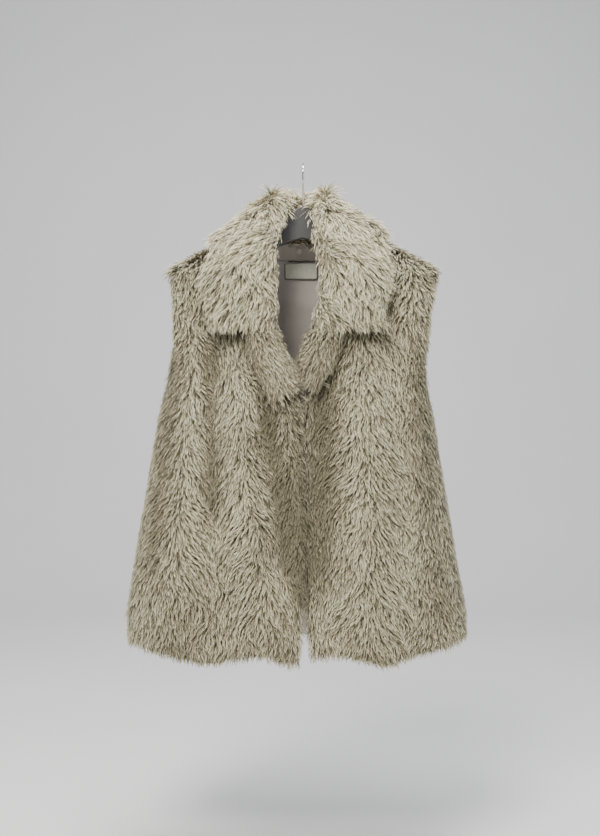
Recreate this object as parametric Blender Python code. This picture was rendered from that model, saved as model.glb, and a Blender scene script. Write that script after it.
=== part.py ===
# Faux fur vest on its hanger: construction solids, in metres, +Z up
# The origin is where the hook's crown rests on its support. The front faces -Y, the wearer's left is +X.
# A wall is as thick as the cloth with its pile, so that the solids reach as far as the fur does.

import bpy
import bmesh
from math import cos, exp, pi, radians, sin
from mathutils import Vector
from mathutils.bvhtree import BVHTree

# Driving sizes
WALL = 0.015              # fur cloth of the body, backing and pile together
PILE = 0.013              # pile of the collar and the lapels, outside their backing
BACKING = 0.003           # folded backing under the collar's and the lapels' pile
FOLD_RADIUS = 0.0065      # backing's radius where the collar folds over
LINING = 0.0016           # lining and facing cloth
SEAM = 0.0003             # clearance between two pieces that meet
FAR = 0.3                 # longer than the vest is deep
SAMPLES = 4               # steps across a face where it is tested against the panels
CLEAR = 0.0006            # clearance of a layer that lies on a faceted panel
RIM_CLEAR = 0.0015        # least room between the rounded rims of an armhole
SECTION_POWER = 2.6       # how square the body's horizontal section is
HEM_ROUND = 0.42          # rounding of the hem, as a share of the wall
INSIDE_Y = -0.02          # a depth inside the vest, from which its back is looked for

# Shoulders, neck and armholes
TIP_X = 0.2125            # shoulder tip, from the middle
TIP_Z = -0.165
SHOULDER_SLOPE = 0.53
NECK_X = 0.078            # where the shoulder seam meets the collar
BACK_NECK_DROP = 0.022    # how far the back neckline dips under that point
FRONT_NECK_SLOPE = 1.5
UNDERARM_Z = -0.372

# Hanger and hook
HANGER_THICK = 0.012
HANGER_TOP_Z = -0.067
HANGER_NECK_HALF = 0.012
HANGER_SHOULDER_X = 0.045
HANGER_TIP_X = 0.178
HANGER_ARM_DROP = 0.0199  # from the vest's shoulder line down to the top of the arm
HANGER_ARCH_Z = -0.116
HANGER_TIP_HEIGHT = 0.024
HANGER_NECK_SAG = 0.004   # the arm runs lower beside the neck, where the cloth is narrow
HANGER_STRAIGHT_X = 0.105
HANGER_BEVEL = 0.0015
HANGER_TIP_ROUND = 0.9    # width of the rounded tip over its height
HANGER_UNDER_DROP = 0.098 # from the arch down to the underside of the tip
HANGER_UNDER_POWER = 1.35
HANGER_UNDER_SHARES = (0.80, 0.62, 0.46, 0.32, 0.20, 0.10)
HANGER_TOP_SHARE = 0.55   # width of the neck's flat top, and place of its hollow
NECK_BEVEL = 0.004
WIRE = 0.0032
CROWN_RADIUS = 0.0190     # inside of the hook's crown
CROWN_START = 236         # degrees round the crown, from the shank's side to the wire's end
CROWN_END = -24
CROWN_STEP = -13
SHANK_BENDS = [(0.0, -0.0600), (-0.0012, -0.0545), (-0.0050, -0.0490)]

# Grid fineness
BODY_ROWS_COUNT = 20
FRONT_COLUMNS = 16
BACK_COLUMNS = 28
FACING_MARGIN = 11        # columns of the back left free at each side of the facing
LINING_MARGIN = 3
ROW_POWER = 1.6           # rows are closer together near the shoulder
COLUMN_EVEN = 0.35        # share of a column's place that is even, the rest gathers at the side
RIM_STEPS = 3             # steps round a rim
LAPEL_ROWS = 6
LAPEL_COLUMNS = 5
LABEL_ROWS = 2
LABEL_COLUMNS = 4
STUD_SEGMENTS = 18
STUD_WIRE_SEGMENTS = 6

# Fading of a fold at its ends, as shares of its length: how far past the end, and over what length
FOLD_FADE = dict(top=0.12, top_length=0.30, low=0.12, low_length=0.20)

# Outward direction on a panel: depth counts more than width, and near the shoulder up counts too
DEPTH_WEIGHT = 2
UPPER_ROWS = 3
UPPER_LEAN = 0.12

# Outline of the body by height: side edges seen from the front, and how far front and back stand out
BODY = [
    dict(z=-0.095, right=-0.2125, left=0.2125, front=0.030, back=0.034, arm=0.0),
    dict(z=-0.130, right=-0.2125, left=0.2125, front=0.040, back=0.047, arm=0.0),
    dict(z=-0.165, right=-0.2125, left=0.2125, front=0.048, back=0.054, arm=0.0),
    dict(z=-0.185, right=-0.2085, left=0.2075, front=0.050, back=0.056, arm=0.018),
    dict(z=-0.225, right=-0.2025, left=0.2005, front=0.056, back=0.060, arm=0.030),
    dict(z=-0.277, right=-0.2005, left=0.1940, front=0.062, back=0.065, arm=0.036),
    dict(z=-0.325, right=-0.2065, left=0.1910, front=0.068, back=0.069, arm=0.032),
    dict(z=-0.358, right=-0.2155, left=0.1960, front=0.071, back=0.072, arm=0.018),
    dict(z=-0.375, right=-0.2235, left=0.2025, front=0.073, back=0.074, arm=0.0),
    dict(z=-0.452, right=-0.2380, left=0.2150, front=0.080, back=0.079, arm=0.0),
    dict(z=-0.547, right=-0.2540, left=0.2310, front=0.088, back=0.086, arm=0.0),
    dict(z=-0.643, right=-0.2700, left=0.2470, front=0.096, back=0.092, arm=0.0),
    dict(z=-0.722, right=-0.2800, left=0.2600, front=0.100, back=0.095, arm=0.0),
    dict(z=-0.775, right=-0.2770, left=0.2600, front=0.100, back=0.094, arm=0.0),
]

# Centre edges of the two fronts by height: the opening at the neck, then edge to edge
CENTRE = [
    dict(z=-0.165, right=-0.0615, left=0.0450),
    dict(z=-0.205, right=-0.0545, left=0.0380),
    dict(z=-0.240, right=-0.0530, left=0.0315),
    dict(z=-0.264, right=-0.0480, left=0.0240),
    dict(z=-0.290, right=-0.0340, left=0.0100),
    dict(z=-0.320, right=-0.0190, left=0.0050),
    dict(z=-0.345, right=-0.0060, left=0.0035),
    dict(z=-0.365, right=-0.0010, left=0.0010),
    dict(z=-0.450, right=-0.0006, left=0.0006),
    dict(z=-0.560, right=-0.0010, left=0.0010),
    dict(z=-0.650, right=-0.0020, left=0.0040),
    dict(z=-0.765, right=-0.0060, left=0.0110),
]

# Hem height across the front and the back
HEM = [
    dict(x=-0.280, front=-0.742, back=-0.742),
    dict(x=-0.225, front=-0.752, back=-0.756),
    dict(x=-0.146, front=-0.763, back=-0.752),
    dict(x=-0.094, front=-0.755, back=-0.762),
    dict(x=-0.061, front=-0.751, back=-0.760),
    dict(x=-0.025, front=-0.762, back=-0.753),
    dict(x=0.000, front=-0.752, back=-0.751),
    dict(x=0.040, front=-0.748, back=-0.754),
    dict(x=0.092, front=-0.758, back=-0.763),
    dict(x=0.122, front=-0.766, back=-0.760),
    dict(x=0.165, front=-0.754, back=-0.753),
    dict(x=0.215, front=-0.746, back=-0.752),
    dict(x=0.262, front=-0.736, back=-0.736),
]

# Largest folds: a ridge stands out by its height, a valley has a negative one
FOLDS = {
    "front": [
        dict(top_x=-0.168, top_z=-0.290, low_x=-0.196, low_z=-0.700, height=0.010, half_width=0.024),
        dict(top_x=-0.139, top_z=-0.250, low_x=-0.146, low_z=-0.640, height=-0.013, half_width=0.020),
        dict(top_x=-0.108, top_z=-0.320, low_x=-0.058, low_z=-0.740, height=0.015, half_width=0.026),
        dict(top_x=-0.056, top_z=-0.370, low_x=-0.030, low_z=-0.640, height=-0.013, half_width=0.016),
        dict(top_x=-0.022, top_z=-0.385, low_x=-0.010, low_z=-0.770, height=0.008, half_width=0.015),
        dict(top_x=0.024, top_z=-0.350, low_x=0.040, low_z=-0.700, height=-0.013, half_width=0.024),
        dict(top_x=0.100, top_z=-0.390, low_x=0.108, low_z=-0.770, height=0.013, half_width=0.038),
        dict(top_x=0.138, top_z=-0.240, low_x=0.154, low_z=-0.480, height=-0.009, half_width=0.020),
        dict(top_x=0.168, top_z=-0.180, low_x=0.180, low_z=-0.600, height=0.006, half_width=0.020),
    ],
    "back": [
        dict(top_x=-0.150, top_z=-0.300, low_x=-0.175, low_z=-0.770, height=0.007, half_width=0.030),
        dict(top_x=-0.095, top_z=-0.260, low_x=-0.120, low_z=-0.720, height=-0.008, half_width=0.026),
        dict(top_x=-0.040, top_z=-0.330, low_x=-0.055, low_z=-0.770, height=0.008, half_width=0.028),
        dict(top_x=0.012, top_z=-0.280, low_x=0.008, low_z=-0.760, height=-0.007, half_width=0.024),
        dict(top_x=0.065, top_z=-0.320, low_x=0.090, low_z=-0.770, height=0.009, half_width=0.030),
        dict(top_x=0.125, top_z=-0.270, low_x=0.145, low_z=-0.700, height=-0.007, half_width=0.026),
    ],
}

# Collar from its front end round to the centre back: foot of the stand, fold, and outer edge of the fall.
# The x values are given for each side, and y grows to the back.
COLLAR = [
    dict(name="front end", right_fold=-0.047, left_fold=0.021, fold_y=-0.064, fold_z=-0.257,
         right_edge=-0.136, left_edge=0.116, edge_y=-0.064, edge_z=-0.254, foot_in=0.010, foot_x=0.0,
         foot_z=-0.257),
    dict(name="low leaf", right_fold=-0.049, left_fold=0.030, fold_y=-0.063, fold_z=-0.226,
         right_edge=-0.140, left_edge=0.119, edge_y=-0.060, edge_z=-0.226, foot_in=0.010, foot_x=0.0,
         foot_z=-0.226),
    dict(name="mid leaf", right_fold=-0.051, left_fold=0.035, fold_y=-0.059, fold_z=-0.190,
         right_edge=-0.144, left_edge=0.123, edge_y=-0.055, edge_z=-0.196, foot_in=0.010, foot_x=0.0,
         foot_z=-0.190),
    dict(name="high leaf", right_fold=-0.050, left_fold=0.037, fold_y=-0.052, fold_z=-0.152,
         right_edge=-0.146, left_edge=0.127, edge_y=-0.048, edge_z=-0.168, foot_in=0.012, foot_x=0.002,
         foot_z=-0.152),
    dict(name="front shoulder", right_fold=-0.043, left_fold=0.020, fold_y=-0.042, fold_z=-0.108,
         right_edge=-0.137, left_edge=0.120, edge_y=-0.034, edge_z=-0.146, foot_in=0.014, foot_x=0.007,
         foot_z=-0.102),
    dict(name="side front", right_fold=-0.029, left_fold=0.015, fold_y=-0.023, fold_z=-0.060,
         right_edge=-0.123, left_edge=0.103, edge_y=-0.014, edge_z=-0.128, foot_in=0.013, foot_x=0.036,
         foot_z=-0.093),
    dict(name="side", right_fold=-0.033, left_fold=0.022, fold_y=0.004, fold_z=-0.050,
         right_edge=-0.120, left_edge=0.101, edge_y=0.012, edge_z=-0.124, foot_in=0.004, foot_x=0.041,
         foot_z=-0.088),
    dict(name="side back", right_fold=-0.033, left_fold=0.024, fold_y=0.026, fold_z=-0.049,
         right_edge=-0.108, left_edge=0.098, edge_y=0.048, edge_z=-0.130, foot_in=-0.002, foot_x=0.030,
         foot_z=-0.094),
    dict(name="back", right_fold=-0.018, left_fold=0.016, fold_y=0.040, fold_z=-0.049,
         right_edge=-0.066, left_edge=0.062, edge_y=0.072, edge_z=-0.143, foot_in=-0.001, foot_x=0.012,
         foot_z=-0.110),
]
CENTRE_BACK = dict(name="centre back", right_fold=0.0, left_fold=0.0, fold_y=0.044, fold_z=-0.049,
                   right_edge=0.0, left_edge=0.0, edge_y=0.078, edge_z=-0.150, foot_in=-0.001,
                   foot_x=0.0, foot_z=-0.1155)

# Pile on the collar's line from its foot to its outer edge
COLLAR_PILE = [0.002, 0.007, 0.011, PILE, PILE, PILE, PILE, PILE, PILE]

# Bow of the collar's fall, by the share of its width
FALL_BOW = [dict(share=0.25, rise=0.004), dict(share=0.50, rise=0.005), dict(share=0.75, rise=0.003)]
STAND_MIDDLE = 0.55       # place of the point between the foot and the fold
FOLD_RISE = 0.6           # top of the fold above its inner side, in fold radii
FOLD_SINK = 0.7           # start of the fall under it, in fold radii
LEAN_Z = -0.06            # where the collar starts to lie on the fronts
LEAN_LENGTH = 0.08
COLLAR_RIM = 0.007

# Lapels on the fronts: edges by how far down the lapel
LAPEL = [
    dict(down=0.00, right_inner=-0.0390, right_outer=-0.0850, left_inner=0.0090, left_outer=0.0580),
    dict(down=0.30, right_inner=-0.0310, right_outer=-0.0800, left_inner=0.0000, left_outer=0.0540),
    dict(down=0.65, right_inner=-0.0170, right_outer=-0.0660, left_inner=-0.0030, left_outer=0.0440),
    dict(down=1.00, right_inner=-0.0060, right_outer=-0.0480, left_inner=0.0060, left_outer=0.0290),
]
LAPEL_ENDS = {
    "right": dict(top_z=-0.2695, inner_z=-0.345, outer_z=-0.374),
    "left": dict(top_z=-0.2695, inner_z=-0.340, outer_z=-0.346),
}

LAPEL_CROWN = 0.3         # how much thinner a lapel is at its edges
LAPEL_RIM = 0.0045

# Label, facing and stud inside the back neck
FACING_LOW_Z = -0.146
LABEL_WIDTH = 0.054
LABEL_HEIGHT = 0.026
LABEL_THICK = 0.0010
LABEL_DROP = 0.0015
LABEL_LIFT = 0.0008       # off the faceted lining
LABEL_X = -0.003
STUD_X = -0.006
STUD_Z = -0.131
STUD_RADIUS = 0.0034
STUD_WIRE = 0.0009

MATERIALS = {
    "fur": dict(colour=(0.42, 0.38, 0.30), roughness=0.95, metallic=0.0),
    "lining": dict(colour=(0.18, 0.16, 0.14), roughness=0.45, metallic=0.0),
    "label": dict(colour=(0.45, 0.45, 0.38), roughness=0.70, metallic=0.0),
    "hanger": dict(colour=(0.16, 0.155, 0.15), roughness=0.50, metallic=0.0),
    "chrome": dict(colour=(0.80, 0.80, 0.80), roughness=0.12, metallic=1.0),
}


# Reading the tables

def read(rows, key, at, column):
    """One column of a table, read smoothly at a place in its key column."""
    ordered = sorted(rows, key=lambda row: row[key])
    places = [row[key] for row in ordered]
    values = [row[column] for row in ordered]
    if at <= places[0]:
        return values[0]
    if at >= places[-1]:
        return values[-1]
    low = max(i for i in range(len(places) - 1) if places[i] <= at)

    def slope(i):
        if i == 0 or i == len(places) - 1:
            return 0.0
        before = (values[i] - values[i - 1]) / (places[i] - places[i - 1])
        after = (values[i + 1] - values[i]) / (places[i + 1] - places[i])
        if before * after <= 0:
            return 0.0
        return 2 * before * after / (before + after)

    span = places[low + 1] - places[low]
    t = (at - places[low]) / span
    rise = t * t * (3 - 2 * t)
    leave = t * (1 - t) ** 2 * span
    arrive = t * t * (t - 1) * span
    return (values[low] * (1 - rise) + values[low + 1] * rise
            + slope(low) * leave + slope(low + 1) * arrive)


def ease(t):
    """Smooth step from 0 to 1."""
    t = min(max(t, 0.0), 1.0)
    return t * t * (3 - 2 * t)


# The body's form

def fold_relief(face, x, z):
    """How far the folds move the surface out at a place on the front or the back."""
    total = 0.0
    for fold in FOLDS[face]:
        down = (fold["top_z"] - z) / (fold["top_z"] - fold["low_z"])
        line_x = fold["top_x"] + (fold["low_x"] - fold["top_x"]) * min(max(down, 0.0), 1.0)
        away = (x - line_x) / fold["half_width"]
        start = ease((down + FOLD_FADE["top"]) / FOLD_FADE["top_length"])
        finish = ease((1 + FOLD_FADE["low"] - down) / FOLD_FADE["low_length"])
        total += fold["height"] * start * finish * exp(-away * away)
    return total


def edge_x(side, z):
    """Side edge of the body at a height, frozen above the shoulder tip."""
    return read(BODY, "z", min(z, TIP_Z), side)


def arm_gap(z):
    """Half the armhole's opening at a height."""
    if z >= TIP_Z or z <= UNDERARM_Z:
        return 0.0
    return max(read(BODY, "z", z, "arm"), 0.0)


def half_width(face, side, z):
    """Half width of the section that the panel is part of."""
    if z > TIP_Z:
        return TIP_X - (z - TIP_Z) / SHOULDER_SLOPE
    depth = read(BODY, "z", z, face)
    inside = 1 - (arm_gap(z) / depth) ** SECTION_POWER
    return abs(edge_x(side, z)) / inside ** (1 / SECTION_POWER)


def body_point(face, x, z):
    """Point on the outside of the body at a place seen from the front."""
    side = "right" if x < 0 else "left"
    share = min(abs(x) / half_width(face, side, z), 1.0)
    profile = (1 - share ** SECTION_POWER) ** (1 / SECTION_POWER)
    depth = read(BODY, "z", z, face) + fold_relief(face, x, z)
    sign = -1 if face == "front" else 1
    return Vector((x, sign * max(depth * profile, SEAM / 2), z))


def top_z(face, x):
    """Height of the panel's upper edge: shoulder seam, then neckline."""
    reach = abs(x)
    if reach >= NECK_X:
        return TIP_Z + (TIP_X - reach) * SHOULDER_SLOPE
    neck_z = TIP_Z + (TIP_X - NECK_X) * SHOULDER_SLOPE
    if face == "front":
        return neck_z - (NECK_X - reach) * FRONT_NECK_SLOPE
    return neck_z - BACK_NECK_DROP * (1 - (reach / NECK_X) ** 2)


def spread(s):
    """Share across a panel, with columns closer together near the side."""
    return COLUMN_EVEN * s + (1 - COLUMN_EVEN) * sin(s * pi / 2)


def column_x(face, side, s, z):
    """Where a column of the panel runs at a height."""
    outer = edge_x(side, z)
    if face == "back":
        return outer * spread(s)
    rim = WALL / 2 if side == "left" else -WALL / 2
    inner = read(CENTRE, "z", min(z, TIP_Z), side) + rim
    return inner + (outer - inner) * spread(s)


def panel_point(face, side, s, v):
    """Point of a panel: s runs from the centre to the side, v from the top to the hem."""
    top = top_z(face, column_x(face, side, s, TIP_Z))
    low = read(HEM, "x", column_x(face, side, s, HEM[0]["front"]), face)
    z = top + (low - top) * v ** ROW_POWER
    return body_point(face, column_x(face, side, s, z), z)


# Building closed sheets

def grid_normals(grid, turn=1):
    """Normal at each point of a grid, from its neighbours, turned over where turn is -1."""
    rows = len(grid)
    columns = len(grid[0])
    normals = []
    for r in range(rows):
        line = []
        for c in range(columns):
            along = grid[r][min(c + 1, columns - 1)] - grid[r][max(c - 1, 0)]
            down = grid[min(r + 1, rows - 1)][c] - grid[max(r - 1, 0)][c]
            line.append(along.cross(down).normalized() * turn)
        normals.append(line)
    return normals


def outward(point, other):
    """Direction out of a sheet at its edge."""
    return (point - other).normalized()


def stay(point):
    """No limit on a rim's points."""
    return point


def square_rim(edge, r, c):
    """A rim that isn't rounded."""
    return 0.0


def closed_sheet(name, outer, inner, bulge, material, limit=stay):
    """One closed solid between two grids, with its rim rounded by the bulge at each edge point."""
    rows = len(outer)
    columns = len(outer[0])
    loop = [(0, c) for c in range(columns)]
    loop += [(r, columns - 1) for r in range(1, rows)]
    loop += [(rows - 1, c) for c in range(columns - 2, -1, -1)]
    loop += [(r, 0) for r in range(rows - 2, 0, -1)]

    mesh = bpy.data.meshes.new(name)
    bm = bmesh.new()
    outside = [[bm.verts.new(p) for p in line] for line in outer]
    inside = [[bm.verts.new(p) for p in line] for line in inner]
    rings = [[outside[r][c] for r, c in loop]]
    for step in (() if bulge is square_rim else range(1, RIM_STEPS)):
        ring = []
        for r, c in loop:
            middle = (outer[r][c] + inner[r][c]) / 2
            across = (outer[r][c] - inner[r][c]) / 2
            push = Vector((0, 0, 0))
            for edge, other in (("top", (1, c)), ("bottom", (rows - 2, c)),
                                ("first", (r, 1)), ("last", (r, columns - 2))):
                at_edge = {"top": r == 0, "bottom": r == rows - 1,
                           "first": c == 0, "last": c == columns - 1}[edge]
                if at_edge:
                    near = (outer[other[0]][other[1]] + inner[other[0]][other[1]]) / 2
                    push += outward(middle, near) * bulge(edge, r, c)
            angle = pi * step / RIM_STEPS
            ring.append(bm.verts.new(limit(middle + across * cos(angle) + push * sin(angle))))
        rings.append(ring)
    rings.append([inside[r][c] for r, c in loop])

    for r in range(rows - 1):
        for c in range(columns - 1):
            bm.faces.new((outside[r][c], outside[r + 1][c], outside[r + 1][c + 1], outside[r][c + 1]))
            bm.faces.new((inside[r][c], inside[r][c + 1], inside[r + 1][c + 1], inside[r + 1][c]))
    for upper, lower in zip(rings, rings[1:]):
        for i in range(len(loop)):
            j = (i + 1) % len(loop)
            bm.faces.new((upper[i], upper[j], lower[j], lower[i]))
    bmesh.ops.recalc_face_normals(bm, faces=bm.faces)
    bm.to_mesh(mesh)
    bm.free()
    return add_object(name, mesh, material)


def make_material(name):
    """Principled material from the short table."""
    values = MATERIALS[name]
    material = bpy.data.materials.new(name)
    material.use_nodes = True
    shader = material.node_tree.nodes["Principled BSDF"]
    shader.inputs["Base Color"].default_value = (*values["colour"], 1.0)
    shader.inputs["Roughness"].default_value = values["roughness"]
    shader.inputs["Metallic"].default_value = values["metallic"]
    return material


def add_object(name, data, material):
    """Put a mesh or a curve into the vest's collection, with a material of its own."""
    thing = bpy.data.objects.new(name, data)
    data.materials.append(make_material(material))
    VEST.objects.link(thing)
    if isinstance(data, bpy.types.Mesh):
        data.shade_smooth()
    return thing


# Body panels

def own_side(face, side):
    """Keeps a panel's points on its own side of the side seams and of the centre front."""
    def limit(point):
        kept = point.copy()
        if face == "back":
            kept.y = max(kept.y, SEAM / 2)
            return kept
        kept.y = min(kept.y, -SEAM / 2)
        kept.x = min(kept.x, -SEAM / 2) if side == "right" else max(kept.x, SEAM / 2)
        return kept
    return limit


def panel_grids(face, columns, limit):
    """Outer and inner points of a panel, with seams kept flat in the plane between front and back."""
    outer = []
    for j in range(BODY_ROWS_COUNT + 1):
        v = j / BODY_ROWS_COUNT
        line = []
        for side, s in columns:
            line.append(panel_point(face, side, s, v))
        outer.append(line)
    normals = grid_normals(outer)
    inner = []
    for r, line in enumerate(outer):
        inner_line = []
        for c, point in enumerate(line):
            normal = normals[r][c]
            if abs(point.y) < SEAM:
                normal = Vector((normal.x, 0, normal.z)).normalized()
            away = Vector((point.x, point.y * DEPTH_WEIGHT, UPPER_LEAN if r < UPPER_ROWS else 0))
            if normal.dot(away) < 0:
                normal = -normal
            inner_line.append(limit(point - normal * WALL))
        inner.append(inner_line)
    return outer, inner


def panel_bulge(face, outer):
    """Rounding of a panel's rim: free edges are round, seams are flat."""
    def bulge(edge, r, c):
        point = outer[r][c]
        if edge == "bottom":
            return WALL * HEM_ROUND
        if edge == "top":
            return 0.0
        if edge == "first" and face == "front":
            return WALL / 2
        return min(WALL / 2, max(arm_gap(point.z) - RIM_CLEAR, 0.0))
    return bulge


def build_front(side, name):
    """One front, from its centre edge to the side seam."""
    columns = [(side, c / FRONT_COLUMNS) for c in range(FRONT_COLUMNS + 1)]
    limit = own_side("front", side)
    outer, inner = panel_grids("front", columns, limit)
    closed_sheet(name, outer, inner, panel_bulge("front", outer), "fur", limit)


def back_columns():
    """Columns of the back from the right side seam to the left one."""
    half = BACK_COLUMNS // 2
    right = [("right", 1 - c / half) for c in range(half)]
    left = [("left", c / half) for c in range(half + 1)]
    return right + left


def build_back():
    """The back, in one piece from side seam to side seam."""
    limit = own_side("back", "both")
    outer, inner = panel_grids("back", back_columns(), limit)
    closed_sheet("back", outer, inner, panel_bulge("back", outer), "fur", limit)
    return outer, inner


# Lining, facing, label and stud inside the back

def lining_layer(name, outer, inner, first_row, last_row, margin):
    """Thin sheet made from the back's inner points, moved in."""
    columns = range(margin, len(inner[0]) - margin)
    normals = grid_normals(outer)

    def moved(depth):
        grid = []
        for r in range(first_row, last_row + 1):
            line = []
            for c in columns:
                normal = normals[r][c]
                if normal.y < 0:
                    normal = -normal
                point = inner[r][c]
                if r == first_row:
                    point = point + (inner[r + 1][c] - point).normalized() * SEAM
                line.append(point - normal * depth)
            grid.append(line)
        return grid

    return closed_sheet(name, moved(SEAM), moved(SEAM + LINING), square_rim, "lining")


def surface_at(tree, x, z):
    """Point on the inside of the back's lining, seen from the front."""
    return tree.ray_cast(Vector((x, INSIDE_Y, z)), Vector((0, 1, 0)))[0]


def build_label(tree, top):
    """Blank woven label on the lining, just under the facing."""
    front = []
    back = []
    for r in range(LABEL_ROWS + 1):
        z = top - LABEL_DROP - LABEL_HEIGHT * r / LABEL_ROWS
        line = []
        for c in range(LABEL_COLUMNS + 1):
            x = LABEL_X + LABEL_WIDTH * (c / LABEL_COLUMNS - 0.5)
            line.append(surface_at(tree, x, z) - Vector((0, LABEL_LIFT, 0)))
        back.append(line)
        front.append([p - Vector((0, LABEL_THICK, 0)) for p in line])
    closed_sheet("label", front, back, square_rim, "label")


def build_stud(tree):
    """Small ring in the middle of the facing."""
    seat, normal = tree.ray_cast(Vector((STUD_X, INSIDE_Y, STUD_Z)), Vector((0, 1, 0)))[:2]
    bpy.ops.mesh.primitive_torus_add(major_radius=STUD_RADIUS, minor_radius=STUD_WIRE,
                                     major_segments=STUD_SEGMENTS,
                                     minor_segments=STUD_WIRE_SEGMENTS,
                                     location=seat + normal * (STUD_WIRE + 2 * SEAM),
                                     rotation=normal.to_track_quat("Z", "Y").to_euler())
    stud = bpy.context.object
    stud.name = "neck_stud"
    stud.data.materials.append(make_material("chrome"))
    for collection in list(stud.users_collection):
        collection.objects.unlink(stud)
    VEST.objects.link(stud)


# Collar and lapels

def lift_needed(point, way, trees):
    """How far a point has to go along a direction to lie clear outside the panels."""
    need = 0.0
    for tree in trees:
        hit = tree.ray_cast(point + way * FAR, -way, FAR + WALL)[0]
        if hit is not None:
            need = max(need, (hit - point).dot(way) + CLEAR)
    return need


def lift_grid(grid, ways, trees, first_column):
    """Lift a grid's points off the panels, then each face by samples across it."""
    lifted = [[p.copy() for p in line] for line in grid]
    for r, line in enumerate(lifted):
        for c in range(first_column, len(line)):
            line[c] += ways[r][c] * lift_needed(line[c], ways[r][c], trees)
    shares = [i / SAMPLES for i in range(SAMPLES + 1)]
    for r in range(len(lifted) - 1):
        for c in range(first_column, len(lifted[0]) - 1):
            need = 0.0
            for a in shares:
                for b in shares:
                    upper = lifted[r][c].lerp(lifted[r][c + 1], a)
                    lower = lifted[r + 1][c].lerp(lifted[r + 1][c + 1], a)
                    need = max(need, lift_needed(upper.lerp(lower, b), ways[r][c], trees))
                one = lifted[r][c].lerp(lifted[r + 1][c + 1], a)
                other = lifted[r][c + 1].lerp(lifted[r + 1][c], a)
                need = max(need, lift_needed(one, ways[r][c], trees), lift_needed(other, ways[r][c], trees))
            for i, j in ((r, c), (r, c + 1), (r + 1, c), (r + 1, c + 1)):
                lifted[i][j] += ways[r][c] * need
    return lifted


def collar_station(row, side):
    """Backing line of the collar at one station: foot, stand, fold and fall."""
    sign = -1 if side == "right" else 1
    fold_x = row[side + "_fold"]
    fold = Vector((fold_x, row["fold_y"], row["fold_z"]))
    edge = Vector((row[side + "_edge"], row["edge_y"], row["edge_z"]))
    foot = Vector((fold_x + sign * row["foot_x"], row["fold_y"] + row["foot_in"], row["foot_z"]))
    out = Vector((edge.x - fold.x, edge.y - fold.y, 0)).normalized()
    lean = ease((LEAN_Z - row["fold_z"]) / LEAN_LENGTH)
    up = Vector((0, -lean, 1 - lean)).normalized()
    start = fold + out * FOLD_RADIUS * 2 - up * FOLD_RADIUS * FOLD_SINK
    fall = edge - start
    line = [
        foot,
        foot + (fold - foot) * STAND_MIDDLE,
        fold,
        fold + out * FOLD_RADIUS + up * FOLD_RADIUS * FOLD_RISE,
        start,
    ]
    for bow in FALL_BOW:
        line.append(start + fall * bow["share"] + up * bow["rise"])
    line.append(edge)
    return line


def blend_rows(first, second, t):
    """Row between two rows of the collar's table."""
    mixed = {}
    for key, value in first.items():
        mixed[key] = value if key == "name" else value + (second[key] - value) * t
    return mixed


def collar_rows():
    """All stations of one side, with one more between each two."""
    rows = COLLAR + [CENTRE_BACK]
    out = []
    for first, second in zip(rows, rows[1:]):
        out.append(first)
        out.append(blend_rows(first, second, 0.5))
    return out


def smooth_lines(grid, times):
    """Even out a grid along its stations, its ends held."""
    for repeat in range(times):
        fresh = [line[:] for line in grid]
        for r in range(1, len(grid) - 1):
            for c in range(len(grid[0])):
                fresh[r][c] = grid[r][c] * 0.5 + (grid[r - 1][c] + grid[r + 1][c]) * 0.25
        grid = fresh
    return grid


def build_collar(trees):
    """The whole collar, from the right leaf round the back to the left leaf."""
    stations = [collar_station(row, "right") for row in collar_rows()]
    stations.append(collar_station(CENTRE_BACK, "right"))
    stations += [collar_station(row, "left") for row in reversed(collar_rows())]
    grid = smooth_lines(stations, 1)
    normals = grid_normals(grid, -1)
    inner = [[p - n * BACKING for p, n in zip(line, ways)] for line, ways in zip(grid, normals)]
    inner = lift_grid(inner, normals, trees, 3)
    normals = grid_normals(inner, -1)
    outer = []
    for line, directions in zip(inner, normals):
        outer.append([p + n * (BACKING + pile) for p, n, pile in zip(line, directions, COLLAR_PILE)])

    def bulge(edge, r, c):
        if edge == "first":
            return 0.0
        return COLLAR_RIM

    closed_sheet("collar", outer, inner, bulge, "fur")


def build_lapel(side, name, trees):
    """Turned-back top of a front, lying on it."""
    ends = LAPEL_ENDS[side]
    base = []
    for r in range(LAPEL_ROWS + 1):
        down = r / LAPEL_ROWS
        inner_x = read(LAPEL, "down", down, side + "_inner")
        outer_x = read(LAPEL, "down", down, side + "_outer")
        line = []
        for c in range(LAPEL_COLUMNS + 1):
            across = c / LAPEL_COLUMNS
            low = ends["inner_z"] + (ends["outer_z"] - ends["inner_z"]) * across
            z = ends["top_z"] + (low - ends["top_z"]) * down
            line.append(body_point("front", inner_x + (outer_x - inner_x) * across, z))
        base.append(line)
    forward = [[Vector((0, -1, 0))] * (LAPEL_COLUMNS + 1)] * (LAPEL_ROWS + 1)
    base = lift_grid(base, forward, trees, 0)
    normals = grid_normals(base)
    turn = -1 if normals[0][0].y > 0 else 1
    outer = []
    for line, directions in zip(base, normals):
        outer_line = []
        for c, (point, normal) in enumerate(zip(line, directions)):
            crown = 1 - LAPEL_CROWN + LAPEL_CROWN * sin(pi * c / LAPEL_COLUMNS)
            outer_line.append(point + normal * turn * (BACKING + PILE) * crown)
        outer.append(outer_line)
    closed_sheet(name, outer, base, lambda edge, r, c: LAPEL_RIM, "fur")


# Hanger and hook

def arm_top(x):
    """Top of the hanger's arm, under the vest's shoulder."""
    return TIP_Z + (TIP_X - abs(x)) * SHOULDER_SLOPE - HANGER_ARM_DROP


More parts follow.
